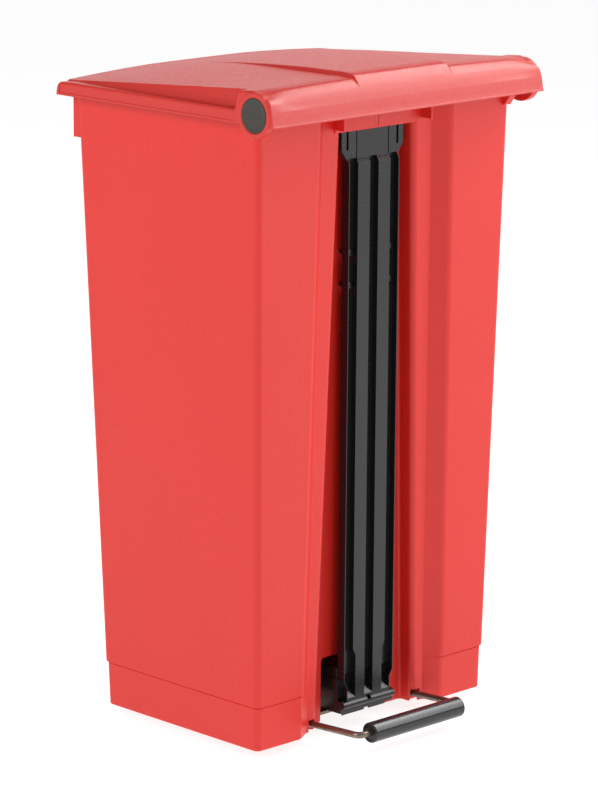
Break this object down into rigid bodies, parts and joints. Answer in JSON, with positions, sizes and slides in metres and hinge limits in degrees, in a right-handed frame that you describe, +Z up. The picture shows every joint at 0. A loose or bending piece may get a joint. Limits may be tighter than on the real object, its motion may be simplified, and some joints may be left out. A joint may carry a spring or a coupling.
{
  "type": "pedal bin",
  "caption": "Tall tapered step-on waste bin with a hinged lid, a push rod in a front recess and a bent-wire pedal with a spinning foot sleeve.",
  "frame": {"origin": "on the floor under the middle of the whole bin, pedal included", "axes": "+Z up, +X along the wide front, the pedal and the lid's hinge on the -Y side"},
  "size_m": [0.48, 0.4208, 0.8644],
  "materials": {
    "body_plastic": "satin, fine moulded grain",
    "lid_plastic": "satin, fine moulded grain",
    "black_plastic": "satin",
    "pin_plastic": "matt",
    "rubber": "matt",
    "pedal_steel": "dull, lightly oxidised"
  },
  "bodies": {
    "body": {"body": "body_plastic", "guide_stud_low_left": "black_plastic", "guide_stud_high_left": "black_plastic", "guide_stud_low_right": "black_plastic", "guide_stud_high_right": "black_plastic", "hinge_pin_left": "pin_plastic", "hinge_pin_right": "pin_plastic", "hinge_clip_left": "pedal_steel", "hinge_clip_right": "pedal_steel", "pivot_block_left": "black_plastic", "pivot_block_right": "black_plastic", "pivot_screw_left": "pedal_steel", "pivot_screw_right": "pedal_steel"},
    "lid": {"lid": "lid_plastic", "lid_buffer_left": "rubber", "lid_buffer_right": "rubber"},
    "pusher": {"pusher": "black_plastic"},
    "pedal": {"pedal_rod": "pedal_steel", "lift_lever": "pedal_steel"},
    "sleeve": {"pedal_sleeve": "black_plastic", "sleeve_bush_left": "black_plastic", "sleeve_bush_right": "black_plastic"}
  },
  "joints": [
    {"name": "lid_hinge", "type": "hinge", "parent": "body", "child": "lid", "pos_m": [0, -0.1533, 0.8262], "axis": [1, 0, 0], "range_deg": [0, 60]},
    {"name": "pusher_slide", "type": "slide", "parent": "body", "child": "pusher", "axis": [0, 0, 1], "range_m": [0, 0.008]},
    {"name": "pedal_pivot", "type": "hinge", "parent": "body", "child": "pedal", "pos_m": [0, -0.0807, 0.0208], "axis": [1, 0, 0], "range_deg": [0, 6.12]},
    {"name": "sleeve_spin", "type": "hinge", "parent": "pedal", "child": "sleeve", "pos_m": [0, -0.1972, 0.0266], "axis": [1, 0, 0], "continuous": true}
  ],
  "couplings": [
    {"joint": "pusher_slide", "follows": "lid_hinge", "m_per_rad": 0.00763},
    {"joint": "pedal_pivot", "follows": "lid_hinge", "ratio": 0.1017}
  ]
}
